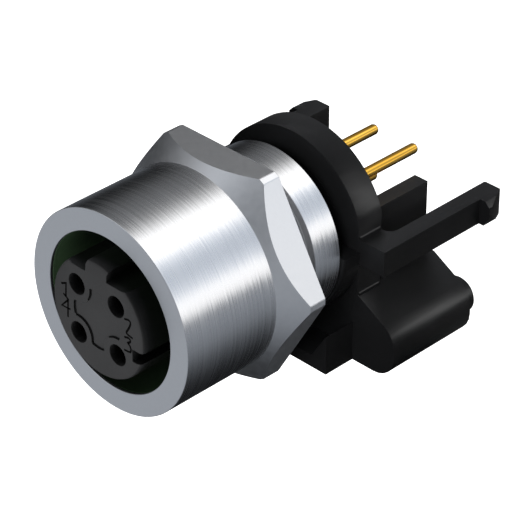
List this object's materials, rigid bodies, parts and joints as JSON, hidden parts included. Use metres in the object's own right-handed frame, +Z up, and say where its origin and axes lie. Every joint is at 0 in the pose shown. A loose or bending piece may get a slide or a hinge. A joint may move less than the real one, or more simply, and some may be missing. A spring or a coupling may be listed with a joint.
{
  "type": "m12 connector",
  "caption": "Round threaded panel connector with a keyed socket face, a hexagon body and a black board holder with latch arms, for soldering to a circuit board.",
  "frame": {"origin": "on the mating axis, in the plane of the sleeve's front rim", "axes": "+Y along the mating axis towards the circuit board, +Z up, +X to the right seen from the front"},
  "size_m": [0.02, 0.0297, 0.0171],
  "materials": {
    "shell_metal": "turned and plated, fine lines round the axis",
    "seal_green": "smooth",
    "insert_plastic": "fine matte",
    "ring_rubber": "smooth",
    "contact_gold": "gold plated",
    "holder_plastic": "satin moulded"
  },
  "bodies": {
    "root": {"shell": "shell_metal", "bore_seal": "seal_green", "insert": "insert_plastic", "insert_ring": "ring_rubber", "contact_1": "contact_gold", "contact_2": "contact_gold", "contact_3": "contact_gold", "contact_4": "contact_gold", "holder": "holder_plastic"}
  },
  "joints": []
}
